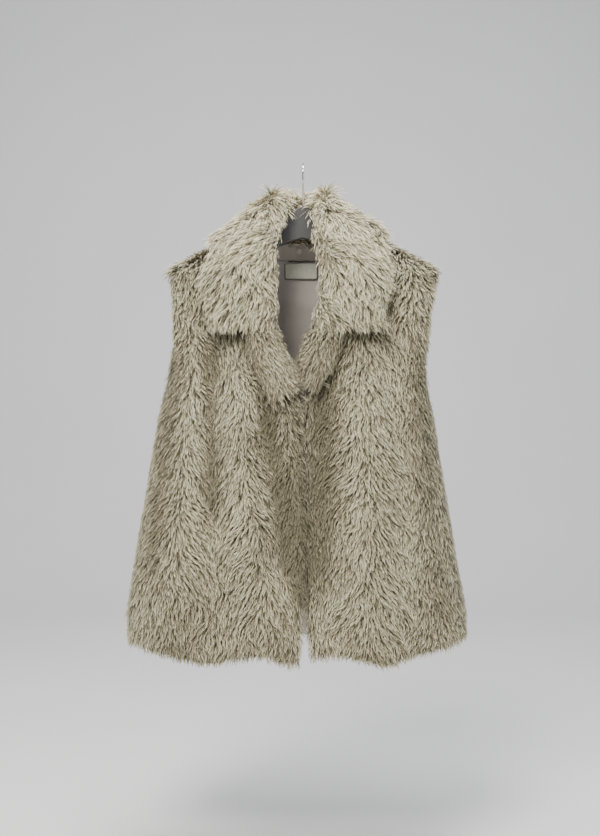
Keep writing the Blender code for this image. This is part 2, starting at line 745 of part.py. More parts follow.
def hanger_outline():
    """Half outline on the +X side from the neck to the middle of the arch, then mirrored."""
    shoulder_z = arm_top(HANGER_SHOULDER_X) - HANGER_NECK_SAG
    tip_top = arm_top(HANGER_TIP_X)
    half = [
        (HANGER_NECK_HALF * HANGER_TOP_SHARE, HANGER_TOP_Z),
        (HANGER_NECK_HALF, HANGER_TOP_Z - NECK_BEVEL),
        (HANGER_SHOULDER_X * HANGER_TOP_SHARE, (HANGER_TOP_Z + shoulder_z) / 2),
        (HANGER_SHOULDER_X, shoulder_z),
        (HANGER_STRAIGHT_X, arm_top(HANGER_STRAIGHT_X)),
        (HANGER_TIP_X, tip_top),
    ]
    radius = HANGER_TIP_HEIGHT / 2
    for degrees in range(60, -91, -30):
        angle = radians(degrees)
        half.append((HANGER_TIP_X + radius * cos(angle) * HANGER_TIP_ROUND,
                     tip_top - radius + radius * sin(angle)))
    for share in HANGER_UNDER_SHARES:
        low = HANGER_ARCH_Z - HANGER_UNDER_DROP * share ** HANGER_UNDER_POWER
        half.append((HANGER_TIP_X * share, low))
    left = [(-x, z) for x, z in reversed(half)]
    return half + [(0.0, HANGER_ARCH_Z)] + left


def build_hanger():
    """Flat hanger body from its outline."""
    curve = bpy.data.curves.new("hanger_body", "CURVE")
    curve.dimensions = "2D"
    curve.fill_mode = "BOTH"
    curve.extrude = HANGER_THICK / 2 - HANGER_BEVEL
    curve.bevel_depth = HANGER_BEVEL
    curve.bevel_resolution = 1
    curve.offset = -HANGER_BEVEL
    spline = curve.splines.new("POLY")
    points = hanger_outline()
    spline.points.add(len(points) - 1)
    for slot, (x, z) in zip(spline.points, points):
        slot.co = (x, z, 0, 1)
    spline.use_cyclic_u = True
    body = add_object("hanger_body", curve, "hanger")
    body.rotation_euler = (radians(90), 0, 0)


def build_hook():
    """Wire hook: shank, sweep to the front, and crown over its support."""
    radius = CROWN_RADIUS + WIRE / 2
    centre_z = -CROWN_RADIUS
    path = [(0.0, HANGER_TOP_Z + SEAM)] + SHANK_BENDS
    for degrees in range(CROWN_START, CROWN_END - 1, CROWN_STEP):
        angle = radians(degrees)
        path.append((radius * cos(angle), centre_z + radius * sin(angle)))
    curve = bpy.data.curves.new("hanger_hook", "CURVE")
    curve.dimensions = "3D"
    curve.bevel_depth = WIRE / 2
    curve.bevel_resolution = 2
    curve.use_fill_caps = True
    spline = curve.splines.new("POLY")
    spline.points.add(len(path) - 1)
    for slot, (y, z) in zip(spline.points, path):
        slot.co = (0, y, z, 1)
    add_object("hanger_hook", curve, "chrome")


def tree_of(thing):
    """Search tree of an object's faces."""
    bm = bmesh.new()
    bm.from_mesh(thing.data)
    tree = BVHTree.FromBMesh(bm)
    bm.free()
    return tree


def row_at(outer, z):
    """Row of the back whose middle is nearest to a height."""
    middle = len(outer[0]) // 2
    return min(range(len(outer)), key=lambda r: abs(outer[r][middle].z - z))


for old in list(bpy.data.objects):
    bpy.data.objects.remove(old)
VEST = bpy.data.collections.new("faux_fur_vest")
bpy.context.scene.collection.children.link(VEST)

back_outer, back_inner = build_back()
build_front("right", "front_right")
build_front("left", "front_left")
facing_low = row_at(back_outer, FACING_LOW_Z)
facing = lining_layer("neck_facing", back_outer, back_inner, 0, facing_low, FACING_MARGIN)
lining = lining_layer("back_lining", back_outer, back_inner, facing_low, BODY_ROWS_COUNT - 1, LINING_MARGIN)
build_label(tree_of(lining), back_inner[facing_low][BACK_COLUMNS // 2].z)
build_stud(tree_of(facing))
panels = [tree_of(bpy.data.objects[name]) for name in ("back", "front_right", "front_left")]
build_collar(panels)
build_lapel("right", "lapel_right", panels)
build_lapel("left", "lapel_left", panels)
build_hanger()
build_hook()
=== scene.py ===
# Faux fur vest on its hanger: looks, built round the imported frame, in metres, +Z up, front to -Y

from math import pi, radians

import bpy
import bmesh
import numpy as np
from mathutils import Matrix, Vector
from mathutils.bvhtree import BVHTree
from mathutils.kdtree import KDTree


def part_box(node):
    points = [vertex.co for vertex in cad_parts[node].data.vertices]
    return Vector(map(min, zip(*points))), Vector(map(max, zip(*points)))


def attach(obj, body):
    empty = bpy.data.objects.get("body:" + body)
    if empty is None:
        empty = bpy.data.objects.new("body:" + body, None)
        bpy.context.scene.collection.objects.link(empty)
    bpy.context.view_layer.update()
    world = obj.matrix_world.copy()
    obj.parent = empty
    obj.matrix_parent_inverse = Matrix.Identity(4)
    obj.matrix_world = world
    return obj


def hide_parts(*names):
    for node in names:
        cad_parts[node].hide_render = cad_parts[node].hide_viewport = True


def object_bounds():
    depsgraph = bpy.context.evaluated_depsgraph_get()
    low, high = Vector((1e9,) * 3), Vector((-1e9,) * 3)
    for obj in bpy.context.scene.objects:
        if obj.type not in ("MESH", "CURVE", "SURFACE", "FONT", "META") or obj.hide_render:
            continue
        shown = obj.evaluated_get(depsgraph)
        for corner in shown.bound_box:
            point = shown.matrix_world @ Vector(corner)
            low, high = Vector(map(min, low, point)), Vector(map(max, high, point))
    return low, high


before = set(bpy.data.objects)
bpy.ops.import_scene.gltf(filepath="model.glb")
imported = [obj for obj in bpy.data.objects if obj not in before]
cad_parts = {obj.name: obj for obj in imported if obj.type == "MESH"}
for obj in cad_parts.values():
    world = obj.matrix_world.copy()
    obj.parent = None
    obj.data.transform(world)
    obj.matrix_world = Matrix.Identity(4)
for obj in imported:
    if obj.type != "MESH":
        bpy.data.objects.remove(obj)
cad_low, cad_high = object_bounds()

# The vest
PILE_DEPTH = 0.009        # how far the fur is rooted under the solids' outside
THIN = 0.42               # a panel's cloth as a share of its solid's thickness
BODY_X = -0.006           # middle of the body, seen from above
BODY_HALF = (0.25, 0.08)  # half width and half depth of a usual section of the body
SEAM_BAND = 0.001         # faces this close to the side seams carry no fur
UNDERSIDE = 0.028         # an underside has something over it within this distance
NECK = (-0.008, 0.004)    # middle of the neck opening, seen from above
WELD = 0.00002            # points closer than this are one point

# Camera: level, with the distance and lens assumed for the photograph
CAMERA = (-0.0048, -1.63, -0.401)
LENS = 44.2
SENSOR = 36.0

# Colours are linear
FUR_TIP = (0.960, 0.885, 0.675)
FUR_MIDDLE = (0.490, 0.435, 0.275)
FUR_ROOT = (0.205, 0.180, 0.098)
UNDER_FUR = (0.260, 0.225, 0.135)
LINING = (0.395, 0.350, 0.312)
FACING = (0.400, 0.350, 0.300)
LABEL = (0.540, 0.535, 0.430)
THREAD = (0.050, 0.042, 0.032)
PLASTIC = (0.070, 0.067, 0.064)
STEEL = (0.72, 0.72, 0.72)
WALL = (0.80, 0.80, 0.80)

# Fur by panel. Lengths are of the hair, lift is how far its tip stands over the solid's outside,
# loft how unevenly, clump how much a hair leans sideways to its tuft, tangle how much a tuft turns.
# flat and area are of the cloth when it lies flat.
FUR = [
    dict(node="back", hairs=20000, under=12000, length=0.018, lift=0.0, loft=0.0025, width=0.00135,
         clump=0.65, tangle=0.14, tone=0.49, flow="body", flat=(0.60, 0.68), area=0.33),
    dict(node="front_left", hairs=26500, under=10000, length=0.0150, lift=0.0, loft=0.0022, width=0.00090,
         clump=0.65, tangle=0.14, tone=0.49, flow="body", flat=(0.32, 0.68), area=0.17),
    dict(node="front_right", hairs=26500, under=10000, length=0.0150, lift=0.0, loft=0.0022, width=0.00090,
         clump=0.65, tangle=0.14, tone=0.49, flow="body", flat=(0.33, 0.68), area=0.18),
    dict(node="collar", hairs=26000, under=10000, length=0.021, lift=0.0015, loft=0.0045, width=0.00085,
         clump=0.60, tangle=0.38, tone=0.60, flow="collar", flat=(0.70, 0.20), area=0.12),
    # The lapels' lower tone is painted shade on the same fur as the fronts.
    dict(node="lapel_left", hairs=2400, under=1500, length=0.016, lift=0.0, loft=0.0025, width=0.00085,
         clump=0.60, tangle=0.24, tone=0.27, flow="lapel", flat=(0.06, 0.09), area=0.0045),
    dict(node="lapel_right", hairs=2800, under=1700, length=0.016, lift=0.0, loft=0.0025, width=0.00085,
         clump=0.60, tangle=0.24, tone=0.30, flow="lapel", flat=(0.06, 0.11), area=0.0055),
]
TUFT_HAIRS = 4.0          # long hairs in a tuft
FEWEST_TUFTS = 8
UNDER_WIDTH = 0.0026
UNDER_TONE = -0.48        # the undercoat's tone, against the long hair's

# Lines from which the fur of the body falls to both sides
RIDGES = [
    dict(face="front", top_x=-0.168, low_x=-0.198, top_z=-0.28, low_z=-0.62, lean=0.80, reach=0.036),
    dict(face="front", top_x=-0.112, low_x=-0.058, top_z=-0.35, low_z=-0.68, lean=0.80, reach=0.036),
    dict(face="front", top_x=-0.030, low_x=-0.010, top_z=-0.36, low_z=-0.60, lean=0.60, reach=0.018),
    dict(face="front", top_x=0.085, low_x=0.108, top_z=-0.30, low_z=-0.76, lean=0.70, reach=0.048),
    dict(face="front", top_x=0.168, low_x=0.200, top_z=-0.20, low_z=-0.76, lean=0.40, reach=0.030),
    dict(face="back", top_x=-0.150, low_x=-0.175, top_z=-0.25, low_z=-0.76, lean=0.60, reach=0.042),
    dict(face="back", top_x=-0.040, low_x=-0.055, top_z=-0.28, low_z=-0.76, lean=0.65, reach=0.045),
    dict(face="back", top_x=0.065, low_x=0.090, top_z=-0.28, low_z=-0.76, lean=0.65, reach=0.045),
]

# Painted shade along the valleys and painted light along the ridges, in lines down the vest: below 0 the
# tone darkens the fur, above 0 it pales it
FOLD_PAINTED_SHADING = [
    dict(face="front", top_x=-0.057, low_x=-0.004, top_z=-0.37, low_z=-0.66, reach=0.017, tone=-0.60),
    dict(face="front", top_x=-0.076, low_x=-0.034, top_z=-0.42, low_z=-0.60, reach=0.024, tone=-0.24),
    dict(face="front", top_x=-0.012, low_x=-0.006, top_z=-0.40, low_z=-0.62, reach=0.012, tone=-0.34),
    dict(face="front", top_x=0.034, low_x=0.020, top_z=-0.36, low_z=-0.62, reach=0.030, tone=-0.58),
    dict(face="front", top_x=-0.144, low_x=-0.138, top_z=-0.30, low_z=-0.52, reach=0.015, tone=-0.50),
    dict(face="front", top_x=-0.196, low_x=-0.228, top_z=-0.32, low_z=-0.62, reach=0.016, tone=-0.32),
    dict(face="front", top_x=0.176, low_x=0.204, top_z=-0.30, low_z=-0.66, reach=0.022, tone=-0.30),
    dict(face="front", top_x=0.078, low_x=0.088, top_z=-0.40, low_z=-0.70, reach=0.008, tone=0.12),
    dict(face="front", top_x=-0.168, low_x=-0.176, top_z=-0.28, low_z=-0.56, reach=0.010, tone=0.14),
    dict(face="front", top_x=-0.108, low_x=-0.092, top_z=-0.40, low_z=-0.60, reach=0.010, tone=0.14),
    dict(face="back", top_x=-0.095, low_x=-0.120, top_z=-0.26, low_z=-0.72, reach=0.024, tone=-0.30),
    dict(face="back", top_x=0.012, low_x=0.008, top_z=-0.28, low_z=-0.76, reach=0.022, tone=-0.30),
    dict(face="back", top_x=0.125, low_x=0.145, top_z=-0.27, low_z=-0.70, reach=0.022, tone=-0.28),
]

SEED = 71
INSIDE_Y = -0.02          # a depth inside the vest, from which its back is looked for
STITCH_PITCH = 0.0032     # length of a stitch with the gap after it
STITCH_RADIUS = 0.00028
STITCH_SHARES = (0.12, 0.45, 0.78)   # start, middle and end of a stitch in its pitch
STITCH_RISE = 0.0003      # how far its middle stands up
EDGE_RADIUS = 0.00038     # rolled edge of the label
FACING_EDGE_RADIUS = 0.0008
WIRE = 0.0032             # the hook's wire
CROWN_RADIUS = 0.0190     # inside of the hook's crown
SPARE = 2.2               # places tried for each hair that grows
EVEN = 0.80               # size of the cells that hold one hair each, of its share of the surface
WAVE_TURN = 13.0          # turn of a strand's wave over its length, in radians
OVERHANG = 0.022          # the body's fur has painted shade this near to the collar and lapels
OVERHANG_PAINTED_SHADE = -0.50     # that painted shade, as a change of tone, where it touches them
LAPEL_SLANT = (0.43, -0.27)   # sideways run for each unit down: the lapel at -X, then the one at +X
LAPEL_HALF = 0.03         # usual half width of a lapel
LAPEL_FALL = 0.4          # how much longer the hair is at a lapel's lower end, which it hides
FRONT_X = 0.0015          # where the two fronts meet
FRONT_REACH = 0.03        # the hair closes over the gap this near to it
FRONT_STAND = 0.006       # and stands out this much more there
SHOULDER_Z = -0.24        # the shoulders lie above this
SHOULDER_STAND = 0.005    # extra height of the hair on them
HEM_Z = -0.735            # the fur has painted shade below this, where it turns under
HEM_PAINTED_SHADE = -0.22
COLLAR_TOP_Z = -0.085     # the collar's top ends here, and the change below it takes this drop
COLLAR_TOP_DROP = 0.03
TOP_STAND = 0.008         # extra height of the hair on the collar's top
TOP_PAINTED_LIGHT = 0.42           # painted light that makes the upper collar paler
OPENING_STAND = -0.0045   # and less height round the neck opening
EDGE_TRIM = 0.45          # share of its length that the hair loses round the neck opening
RIM_LIMIT = 0.35          # a face turned out by less than this, as a cosine, is on a rim
RIM_HAIR = 0.8            # hair on a rim, as a share of that on the outside
RAY_LIFT = 0.0002         # start of an underside's ray, off its own face
COVER_LIFT = 0.0003       # start of a ray that looks for a piece lying over the fur
COVER_REACH = 0.012       # and how far it looks
PRESS = 0.0022            # depth of the cloth's creases
LINING_FREE_Z = -0.178    # the lining is creased below this, under the label
LINING_FREE_DROP = 0.04

# Place along a strand, and its share of the width there
STRAND_LEVELS = [(0.0, 0.60), (0.42, 1.0), (0.64, 1.0), (0.84, 0.85)]
UNDER_LEVELS = [(0.0, 0.90), (0.55, 1.0)]

# Hook's wire: y and z of the shank's bends, then degrees round the crown from start to end
SHANK_FOOT = 0.0003       # clearance over the hanger's neck
SHANK_BENDS = [(0.0, -0.0620), (-0.0004, -0.0575), (-0.0018, -0.0530), (-0.0048, -0.0490)]
CROWN_DEGREES = range(236, -25, -4)
WIRE_SIDES = 20

# Stage and light
FLOOR_DROP = 0.32         # the floor lies this far under the vest
STAGE_HALF = 3.0
STAGE_FRONT_Y = -3.0
STAGE_BACK_Y = 2.6
STAGE_TOP_Z = 2.2
STAGE_BEND = 0.6          # radius between floor and backdrop
STAGE_STEPS = 8
LIGHTS = [
    dict(name="key", place=(-0.6, -1.5, 1.5), aim=(0, 0, -0.4),
         size=1.1, power=78, colour=(1.0, 0.985, 0.935)),
    dict(name="fill", place=(1.5, -1.8, 0.1), aim=(0, 0, -0.4),
         size=1.6, power=14, colour=(0.97, 0.985, 1.0)),
    dict(name="top", place=(0.0, -0.2, 1.6), aim=(0, 0, -0.3),
         size=1.0, power=58, colour=(1, 1, 1)),
]
SKY = (0.92, 0.95, 1.0, 1)
SKY_STRENGTH = 0.38


# Meshes of the frame's solids

def solid(node):
    """Points and triangles of a CAD node, welded, as arrays."""
    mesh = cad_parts[node].data
    points = np.zeros(len(mesh.vertices) * 3)
    mesh.vertices.foreach_get("co", points)
    points = points.reshape(-1, 3)
    mesh.calc_loop_triangles()
    triangles = np.zeros(len(mesh.loop_triangles) * 3, int)
    mesh.loop_triangles.foreach_get("vertices", triangles)
    kept, place = np.unique(np.round(points / WELD).astype(int), axis=0, return_inverse=True)
    triangles = place.reshape(-1)[triangles].reshape(-1, 3)
    whole = ((triangles[:, 0] != triangles[:, 1]) & (triangles[:, 1] != triangles[:, 2])
             & (triangles[:, 0] != triangles[:, 2]))
    return kept * WELD, triangles[whole]


def unit(vectors):
    """Vectors scaled to length one."""
    size = np.linalg.norm(vectors, axis=-1, keepdims=True)
    return vectors / np.maximum(size, 1e-9)


def face_normals(points, triangles):
    """Normal of each triangle, as long as twice its area."""
    a, b, c = (points[triangles[:, i]] for i in range(3))
    return np.cross(b - a, c - a)


def point_normals(points, triangles):
    """Smooth normal at each point."""
    normals = np.zeros_like(points)
    faces = face_normals(points, triangles)
    for i in range(3):
        np.add.at(normals, triangles[:, i], faces)
    return unit(normals)


def search_tree(points, triangles):
    """Tree for rays and nearest points."""
    return BVHTree.FromPolygons([Vector(p) for p in points], [tuple(t) for t in triangles.tolist()])


def outside_share(points, triangles, flow, trees):
    """For each triangle: 1 where it is on the fur side, 0.5 on a rim, 0 on the other side."""
    centres = points[triangles].mean(axis=1)
    normals = unit(face_normals(points, triangles))
    if flow == "body":
        slope = np.zeros_like(centres)
        slope[:, 0] = (centres[:, 0] - BODY_X) / BODY_HALF[0] ** 2
        slope[:, 1] = centres[:, 1] / BODY_HALF[1] ** 2
        facing = (unit(slope) * normals).sum(axis=1) + 0.6 * normals[:, 2] * (centres[:, 2] > -0.2)
        share = np.where(facing > RIM_LIMIT, 1.0, np.where(facing < -RIM_LIMIT, 0.0, 0.5))
        share[np.abs(points[triangles][:, :, 1]).max(axis=1) < SEAM_BAND] = 0.0
        return share
    share = np.ones(len(triangles))
    for i, (centre, normal) in enumerate(zip(centres, normals)):
        start = Vector(centre + normal * RAY_LIFT)
        for tree in trees:
            hit = tree.ray_cast(start, Vector(normal), UNDERSIDE)[0]
            if hit is not None:
                share[i] = 0.0
    return share


# Smooth wandering values

def wander(points, size, seed):
    """Smooth noise near -1 to 1 at points, its features about a given size."""
    random = np.random.default_rng(seed)
    total = np.zeros(len(points))
    waves = 7
    for wave in range(waves):
        way = random.normal(size=3)
        way = way / np.linalg.norm(way) * 2 * pi / (size * random.uniform(1.4, 3.2))
        total += np.sin(points @ way + random.uniform(0, 2 * pi))
    return total / waves ** 0.5


# Which way the fur lies

def tangent(ways, normals):
    """Directions laid into the surface."""
    return unit(ways - normals * (ways * normals).sum(axis=1, keepdims=True))


def beside(line, points):
    """How far points lie beside a line down the vest, in its own reach, and how much they belong to it."""
    share = (line["top_z"] - points[:, 2]) / (line["top_z"] - line["low_z"])
    middle = line["top_x"] + (line["low_x"] - line["top_x"]) * np.clip(share, 0, 1)
    same = (points[:, 1] < 0) == (line["face"] == "front")
    fade = np.clip(share * 5 + 1, 0, 1) * np.clip((1 - share) * 5 + 1, 0, 1) * same
    return (points[:, 0] - middle) / line["reach"], fade


def painted_fold_shading(points):
    """Painted shade along the valleys and painted light along the ridges, as a change of tone."""
    total = np.zeros(len(points))
    for line in FOLD_PAINTED_SHADING:
        away, fade = beside(line, points)
        total += line["tone"] * fade * np.exp(-away * away)
    return total


def body_flow(points, normals):
    """Down the panel, parting from its ridges."""
    lean = np.zeros(len(points))
    for ridge in RIDGES:
        away, fade = beside(ridge, points)
        lean += ridge["lean"] * fade * 1.7 * away * np.exp(-away * away)
    ways = np.zeros_like(points)
    ways[:, 0] = lean + 0.28 * wander(points, 0.05, 11) + 0.30 * wander(points, 0.016, 12)
    ways[:, 1] = 0.15 * wander(points, 0.02, 13)
    ways[:, 2] = -1
    edge = np.clip((np.abs(points[:, 0] - BODY_X) - 0.16) / 0.06, 0, 1)
    ways[:, 0] += 0.30 * edge * np.sign(points[:, 0]) * (points[:, 2] > -0.5)
    return tangent(ways, normals)


def from_neck(points):
    """Level directions from the middle of the neck opening."""
    around = points - np.array([NECK[0], NECK[1], 0])
    around[:, 2] = 0
    return unit(around)


def collar_flow(points, normals):
    """Out and down the fall, turning over the fold to hang down on its inner side."""
    around = from_neck(points)
    outward = around * 0.75
    leaf = np.clip((-0.16 - points[:, 2]) / 0.08, 0, 1)
    outward[:, 2] = -0.75 - 0.35 * leaf
    top = np.clip((points[:, 2] + 0.095) / 0.02, 0, 1)[:, None]
    inward = around * (0.10 - 0.75 * top)
    inward[:, 2] = -0.9 + 0.9 * np.clip((points[:, 2] + 0.075) / 0.02, 0, 1)
    share = neckward(points, normals)[:, None]
    ways = outward * (1 - share) + inward * share
    ways[:, 0] += 0.40 * wander(points, 0.045, 21) + 0.45 * wander(points, 0.015, 22)
    ways[:, 2] += 0.35 * wander(points, 0.03, 23)
    ways[:, 0] += 0.60 * top[:, 0] * wander(points, 0.007, 24)
    ways[:, 1] += 0.60 * top[:, 0] * wander(points, 0.007, 25)
    return tangent(ways, normals)


def neckward(points, normals):
    """How much the collar's surface looks to the neck opening, from 0 to 1."""
    inner = np.clip((0.15 - (from_neck(points) * normals).sum(axis=1)) / 0.7, 0, 1)
    front = np.clip((0.10 - normals[:, 0] * np.sign(points[:, 0] - NECK[0])) / 1.1, 0, 1)
    front *= np.clip((-0.02 - points[:, 1]) / 0.02, 0, 1)
    return np.maximum(inner, front)


def below_top(points):
    """How far points are below the collar's top, from 0 to 1."""
    return np.clip((COLLAR_TOP_Z - points[:, 2]) / COLLAR_TOP_DROP, 0, 1)


def collar_stand(points, normals):
    """Extra height of the hair's tips: more on the collar's top, less round its opening."""
    top = np.clip((points[:, 2] + 0.10) / 0.05, 0, 1) * np.clip(normals[:, 2], 0, 1)
    return TOP_STAND * top + OPENING_STAND * neckward(points, normals) * below_top(points)


def collar_trim(points, normals):
    """Share of its length that the hair keeps: shorter round the opening, below the top."""
    return 1 - EDGE_TRIM * neckward(points, normals) * below_top(points)


def lapel_aside(points):
    """How far points are from a lapel's slanted middle, in half widths: over 0 towards the opening.

    Also the slant, and which way the opening lies.
    """
    middle = points.mean(axis=0)
    slant = LAPEL_SLANT[0] if middle[0] < 0 else LAPEL_SLANT[1]
    aside = (points[:, 0] - middle[0] - slant * (middle[2] - points[:, 2])) / LAPEL_HALF
    return aside * -np.sign(middle[0]), slant, -np.sign(middle[0])


def lapel_trim(points):
    """Share of its length that a lapel's hair keeps: shorter along the opening, longer at the lower end."""
    low = points[:, 2].min()
    fall = np.clip((low + 0.025 - points[:, 2]) / 0.02, 0, 1)
    edge = np.clip((lapel_aside(points)[0] - 0.4) / 0.4, 0, 1)
    return 1 - EDGE_TRIM * edge * (1 - fall) + LAPEL_FALL * fall


def body_stand(points, normals):
    """Extra height of the hair's tips where the fronts meet and on the shoulders."""
    away = points[:, 0] - FRONT_X
    inward = np.clip(-normals[:, 0] * np.sign(away) * 1.5, 0, 1)
    upward = np.clip(normals[:, 2] * 1.4, 0, 1) * (points[:, 2] > SHOULDER_Z)
    return FRONT_STAND * inward * (points[:, 1] < 0) * (np.abs(away) < FRONT_REACH) + SHOULDER_STAND * upward


def lapel_flow(points, normals):
    """Down along the slanted lapel, and a little out at its sides."""
    aside, slant, inward = lapel_aside(points)
    ways = np.zeros_like(points)
    ways[:, 0] = slant + inward * aside * np.where(aside > 0, 0.05, 0.15) + 0.25 * wander(points, 0.02, 31)
    ways[:, 2] = -0.9
    return tangent(ways, normals)


FLOWS = {"body": body_flow, "collar": collar_flow, "lapel": lapel_flow}


# Growing the fur

def scatter(points, triangles, weights, count, random):
    """Random places where a surface has weight, with the smooth normals of that part."""
    corners = points[triangles]
    areas = np.linalg.norm(face_normals(points, triangles), axis=1) * weights
    order = np.cumsum(areas) / areas.sum()
    chosen = np.searchsorted(order, (np.arange(count) + random.uniform(size=count)) / count)
    chosen = np.minimum(chosen, len(triangles) - 1)
    a = random.uniform(size=(count, 1))
    b = random.uniform(size=(count, 1))
    over = (a + b) > 1
    a = np.where(over, 1 - a, a)
    b = np.where(over, 1 - b, b)
    normals = point_normals(points, triangles[weights > 0])[triangles[chosen]]
    corner = corners[chosen]
    place = corner[:, 0] + (corner[:, 1] - corner[:, 0]) * a + (corner[:, 2] - corner[:, 0]) * b
    normal = normals[:, 0] + (normals[:, 1] - normals[:, 0]) * a + (normals[:, 2] - normals[:, 0]) * b
    return place, unit(normal)


def spaced(places, cell):
    """Numbers of places of which no two share a cell of a given size."""
    cells = np.floor(places / cell).astype(int)
    return np.sort(np.unique(cells, axis=0, return_index=True)[1])


def covered(places, normals, trees):
    """True where another piece lies close over the surface."""
    found = np.zeros(len(places), bool)
    for i, (place, normal) in enumerate(zip(places, normals)):
        start = Vector(place + normal * COVER_LIFT)
        for tree in trees:
            if tree.ray_cast(start, Vector(normal), COVER_REACH)[0] is not None:
                found[i] = True
    return found


def tuft_tips(row, places, normals, flows, stand, keep, random):
    """Tip of the tuft that each hair belongs to, and the tuft's number."""
    count = max(FEWEST_TUFTS, int(len(places) / TUFT_HAIRS))
    centres = random.choice(len(places), count, replace=False)
    tree = KDTree(count)
    for i, centre in enumerate(centres):
        tree.insert(Vector(places[centre]), i)
    tree.balance()
    near = np.array([tree.find(Vector(place))[1] for place in places])
    length = row["length"] * (keep[centres] * random.uniform(0.85, 1.25, count))[:, None]
    lift = random.uniform(-1, 1.5, count)[:, None] * row["loft"] + stand[centres][:, None]
    ways = tangent(flows[centres] + row["tangle"] * random.normal(size=(count, 3)), normals[centres])
    tips = places[centres] + ways * length + normals[centres] * lift
    return tips[near], near, count


def hair_paths(row, places, normals, flows, stand, keep, tips, random):
    """Start, bend and tip of every hair, with its side direction."""
    count = len(places)
    sides = np.cross(flows, normals)
    length = row["length"] * (keep * random.uniform(0.75, 1.2, count))[:, None]
    lift = stand[:, None] + row["loft"] * random.uniform(-1, 1, (count, 1))
    root = places - normals * PILE_DEPTH
    own = places + flows * length + normals * lift
    aside = sides * ((tips - own) * sides).sum(axis=1, keepdims=True)
    tip = own + aside * row["clump"] + sides * random.normal(0, 0.0005, (count, 1))
    tip = root + (tip - root) * random.uniform(0.80, 1.10, (count, 1))
    reach = tip - root
    height = (reach * normals).sum(axis=1, keepdims=True)
    bend = root + normals * height * 0.95 + (reach - normals * height) * 0.30
    return root, bend, tip, sides


def ribbons(name, paths, width, wave, swing, levels, tone):
    """Mesh of tapered ribbons that bend and wave along their paths."""
    root, bend, tip, side, across = paths
    parts = []
    for t, share in levels + [(1.0, 0.0)]:
        line = root * (1 - t) ** 2 + bend * 2 * t * (1 - t) + tip * t * t
        line = line + side * swing * np.sin(wave + t * WAVE_TURN) * t
        if share:
            parts += [line - across * width * share / 2, line + across * width * share / 2]
        else:
            parts.append(line)
    points = np.stack(parts, axis=1).reshape(-1, 3)
    return ribbon_mesh(name, points, np.clip(tone, 0.02, 0.98), [t for t, share in levels])


def base_tone(row, places, trees):
    """Tone of the fur before each strand's own change, with its painted shade and light."""
    tone = row["tone"] + 0.08 * wander(places, 0.06, 41)
    if row["flow"] == "body":
        # painted shade and light of the folds, and painted shade where the hem turns under
        tone += painted_fold_shading(places) + HEM_PAINTED_SHADE * np.clip((HEM_Z - places[:, 2]) / 0.02, 0, 1)
        # painted shade under the collar and beside the lapels
        for i, place in enumerate(places):
            tone[i] += OVERHANG_PAINTED_SHADE * near_share(place, trees)
    elif row["flow"] == "collar":
        # painted light on the upper collar
        tone += TOP_PAINTED_LIGHT * np.clip((places[:, 2] + 0.17) / 0.08, 0, 1)
    else:
        # painted shade towards a lapel's sides, where it rolls away from the light
        tone -= 0.26 * np.clip(lapel_aside(places)[0] ** 2, 0, 1.2)
    return tone


def near_share(place, trees):
    """How near a place is to what lies over it, which sets its painted shade: 1 where they touch, 0 at the
    overhang's reach.

    A lapel's lower end runs on into the front, so it counts at its sides alone.
    """
    best = 0.0
    for name in ("collar", "lapel_left", "lapel_right"):
        found = trees[name].find_nearest(Vector(place), OVERHANG)
        near, away = found[0], found[3]
        if near is None:
            continue
        share = 1 - away / OVERHANG
        if name != "collar":
            share *= 1 - min(max((near.z - place[2]) / max(away, WELD), 0), 1)
        best = max(best, share)
    return best


def grow(row, places, normals, flows, base, random):
    """The long hair: wavy ribbons that gather in tufts."""
    stand = np.full(len(places), row["lift"])
    keep = np.ones(len(places))
    if row["flow"] == "collar":
        stand += collar_stand(places, normals)
        keep = collar_trim(places, normals)
    elif row["flow"] == "lapel":
        keep = lapel_trim(places)
    else:
        stand += body_stand(places, normals)
    tips, tuft, tufts = tuft_tips(row, places, normals, flows, stand, keep, random)
    root, bend, tip, side = hair_paths(row, places, normals, flows, stand, keep, tips, random)
    count = len(root)
    wave = (random.uniform(0, 2 * pi, tufts)[tuft] + random.normal(0, 0.4, count))[:, None]
    swing = random.uniform(0.0004, 0.0012, tufts)[tuft][:, None]
    turn = random.normal(0, 0.45, (count, 1))
    across = side * np.cos(turn) + normals * np.sin(turn)
    width = row["width"] * random.uniform(0.7, 1.25, (count, 1))
    tone = base + 0.08 * random.uniform(-1, 1, tufts)[tuft] + 0.16 * random.normal(size=count)
    return ribbons(row["node"] + "_fur", (root, bend, tip, side, across), width, wave, swing,
                   STRAND_LEVELS, tone)


def grow_under(row, places, normals, flows, base, random):
    """The undercoat: short broad ribbons that fill the gaps between the locks."""
    count = len(places)
    side = np.cross(flows, normals)
    root = places - normals * PILE_DEPTH
    tip = (places + flows * row["length"] * random.uniform(0.5, 0.8, (count, 1))
           - normals * random.uniform(0.0005, 0.0025, (count, 1))
           + side * random.normal(0, 0.001, (count, 1)))
    bend = root + normals * PILE_DEPTH * 0.7 + (tip - root) * 0.2
    width = UNDER_WIDTH * random.uniform(0.8, 1.2, (count, 1))
    wave = random.uniform(0, 2 * pi, (count, 1))
    turn = random.normal(0, 0.25, (count, 1))
    across = side * np.cos(turn) + normals * np.sin(turn)
    tone = base + UNDER_TONE + 0.08 * random.normal(size=count)
    return ribbons(row["node"] + "_undercoat", (root, bend, tip, side, across), width, wave, 0.0008,
                   UNDER_LEVELS, tone)


